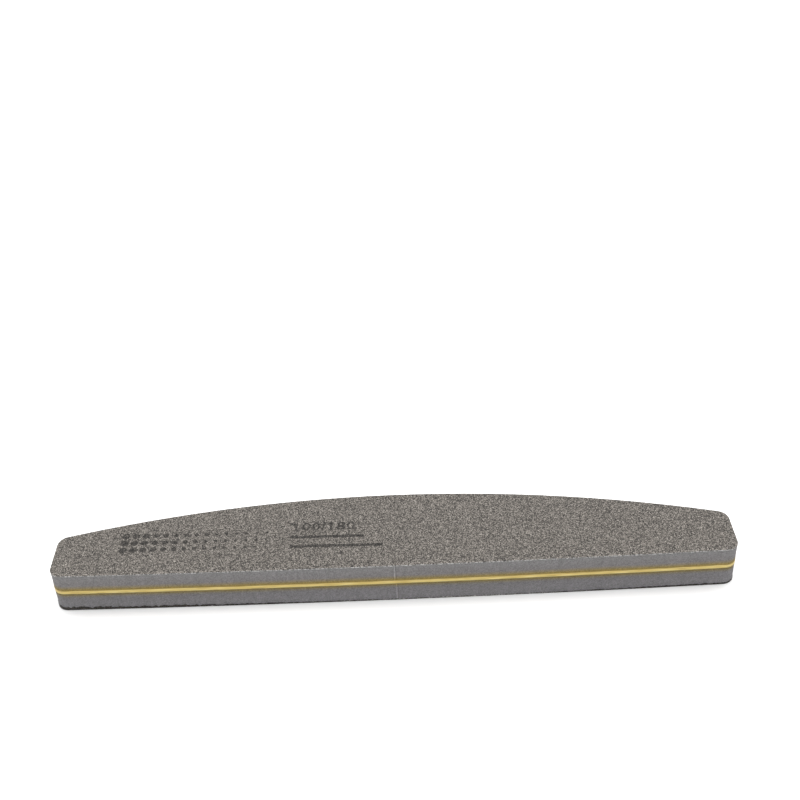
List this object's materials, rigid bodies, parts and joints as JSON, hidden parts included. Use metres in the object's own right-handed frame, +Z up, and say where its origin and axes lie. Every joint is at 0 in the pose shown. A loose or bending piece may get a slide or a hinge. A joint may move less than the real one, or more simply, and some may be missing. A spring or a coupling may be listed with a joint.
{
  "type": "nail buffer block",
  "caption": "Half-moon nail buffer block: a soft foam sandwich on a stiff plastic core, faced with coarse and fine abrasive sheets.",
  "frame": {"origin": "on the resting face, below the centre of the block's bounding box", "axes": "+X along the block, +Y from the nearly straight edge to the arched edge, +Z up out of the coarse face"},
  "size_m": [0.178, 0.028, 0.0123],
  "materials": {
    "core_plastic": "satin yellow polystyrene with sawn, finely streaked edges",
    "foam": "matte grey closed-cell EVA foam with fine cut cells",
    "adhesive": "clear acrylic film",
    "backing_paper": "matte latex-filled waterproof paper",
    "coarse_grit": "matte resin holding dark 100-grit mineral grains",
    "fine_grit": "matte resin holding dark 180-grit mineral grains",
    "ink": "matte dark printing ink"
  },
  "bodies": {
    "root": {"core_strip": "core_plastic", "lower_core_adhesive": "adhesive", "upper_core_adhesive": "adhesive", "lower_foam_pad": "foam", "upper_foam_pad": "foam", "lower_sheet_adhesive": "adhesive", "upper_sheet_adhesive": "adhesive", "lower_abrasive_backing": "backing_paper", "upper_abrasive_backing": "backing_paper", "lower_grit_coat": "fine_grit", "upper_grit_coat": "coarse_grit", "printed_grit_number": "ink", "printed_grit_scale": "ink", "printed_rules": "ink"}
  },
  "joints": []
}
